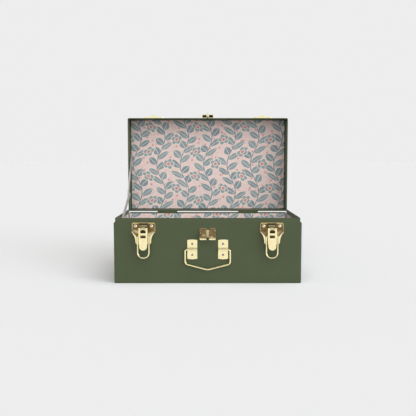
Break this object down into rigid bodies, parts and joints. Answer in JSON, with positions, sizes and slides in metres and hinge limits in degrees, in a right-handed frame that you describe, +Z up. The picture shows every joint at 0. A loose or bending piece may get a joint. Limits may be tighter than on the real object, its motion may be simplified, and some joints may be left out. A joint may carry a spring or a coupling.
{
  "type": "storage trunk",
  "caption": "Small painted steel trunk with a hinged lid on a folding stay, brass toggle latches, a padlock hasp, a wire bail handle and a patterned lining.",
  "frame": {"origin": "middle of the base's footprint, on the surface the trunk stands on", "axes": "+X to the right seen from the front, +Y to the back, +Z up"},
  "size_m": [0.33, 0.2507, 0.3098],
  "materials": {
    "green_paint": "satin",
    "polished_brass": "polished",
    "plated_steel": "plated",
    "lining_print": "printed paper on board"
  },
  "bodies": {
    "base": {"base_shell": "green_paint", "base_lining_floor": "lining_print", "base_lining_front": "lining_print", "base_lining_back": "lining_print", "base_lining_left": "lining_print", "base_lining_right": "lining_print", "hinge_base_leaf_left": "green_paint", "hinge_base_leaf_right": "green_paint", "hinge_pin_left": "green_paint", "hinge_pin_right": "green_paint", "hinge_base_rivets": "green_paint", "latch_plate_left": "polished_brass", "latch_plate_right": "polished_brass", "latch_pin_left": "polished_brass", "latch_pin_right": "polished_brass", "latch_plate_rivets": "plated_steel", "hasp_base": "polished_brass", "handle_clip_left": "polished_brass", "handle_clip_right": "polished_brass", "handle_rivets": "plated_steel", "stay_base_stud": "plated_steel"},
    "lid": {"lid_shell": "green_paint", "lid_lining_panel": "lining_print", "hinge_lid_leaf_left": "green_paint", "hinge_lid_leaf_right": "green_paint", "hinge_lid_rivets": "green_paint", "latch_strike_left": "polished_brass", "latch_strike_right": "polished_brass", "strike_rivets": "plated_steel", "hasp_lid": "polished_brass", "stay_lid_stud": "plated_steel"},
    "handle": {"handle_bail": "polished_brass"},
    "stay_upper": {"stay_upper_arm": "plated_steel", "stay_elbow_rivet": "plated_steel"},
    "stay_lower": {"stay_lower_arm": "plated_steel", "stay_base_rivet": "plated_steel"},
    "latch_lever_left": {"latch_lever_left": "polished_brass"},
    "latch_loop_left": {"latch_loop_left": "polished_brass"},
    "latch_lever_right": {"latch_lever_right": "polished_brass"},
    "latch_loop_right": {"latch_loop_right": "polished_brass"}
  },
  "joints": [
    {"name": "lid_hinge", "type": "hinge", "parent": "base", "child": "lid", "pos_m": [0, 0.0984, 0.108], "axis": [1, 0, 0], "range_deg": [0, 90]},
    {"name": "stay_upper_pivot", "type": "hinge", "parent": "lid", "child": "stay_upper", "pos_m": [-0.16195, 0.1313, 0.2229], "axis": [1, 0, 0], "range_deg": [0, 31]},
    {"name": "stay_elbow", "type": "hinge", "parent": "stay_upper", "child": "stay_lower", "pos_m": [-0.16085, 0.07429, 0.14541], "axis": [1, 0, 0], "range_deg": [-128, 0]},
    {"name": "latch_lever_left_pivot", "type": "hinge", "parent": "base", "child": "latch_lever_left", "pos_m": [-0.112, -0.1052, 0.0967], "axis": [-1, 0, 0], "range_deg": [0, 150]},
    {"name": "latch_loop_left_pivot", "type": "hinge", "parent": "latch_lever_left", "child": "latch_loop_left", "pos_m": [-0.112, -0.1052, 0.0844], "axis": [1, 0, 0], "range_deg": [-188.51, 0]},
    {"name": "latch_lever_right_pivot", "type": "hinge", "parent": "base", "child": "latch_lever_right", "pos_m": [0.112, -0.1052, 0.0967], "axis": [-1, 0, 0], "range_deg": [0, 150]},
    {"name": "latch_loop_right_pivot", "type": "hinge", "parent": "latch_lever_right", "child": "latch_loop_right", "pos_m": [0.112, -0.1052, 0.0844], "axis": [1, 0, 0], "range_deg": [-188.51, 0]},
    {"name": "handle_pivot", "type": "hinge", "parent": "base", "child": "handle", "pos_m": [0, -0.0989, 0.0605], "axis": [-1, 0, 0], "range_deg": [0, 110]}
  ],
  "couplings": [
    {"joint": "stay_upper_pivot", "follows": "lid_hinge", "ratio": 0.33532},
    {"joint": "stay_elbow", "follows": "lid_hinge", "ratio": -1.4131}
  ]
}
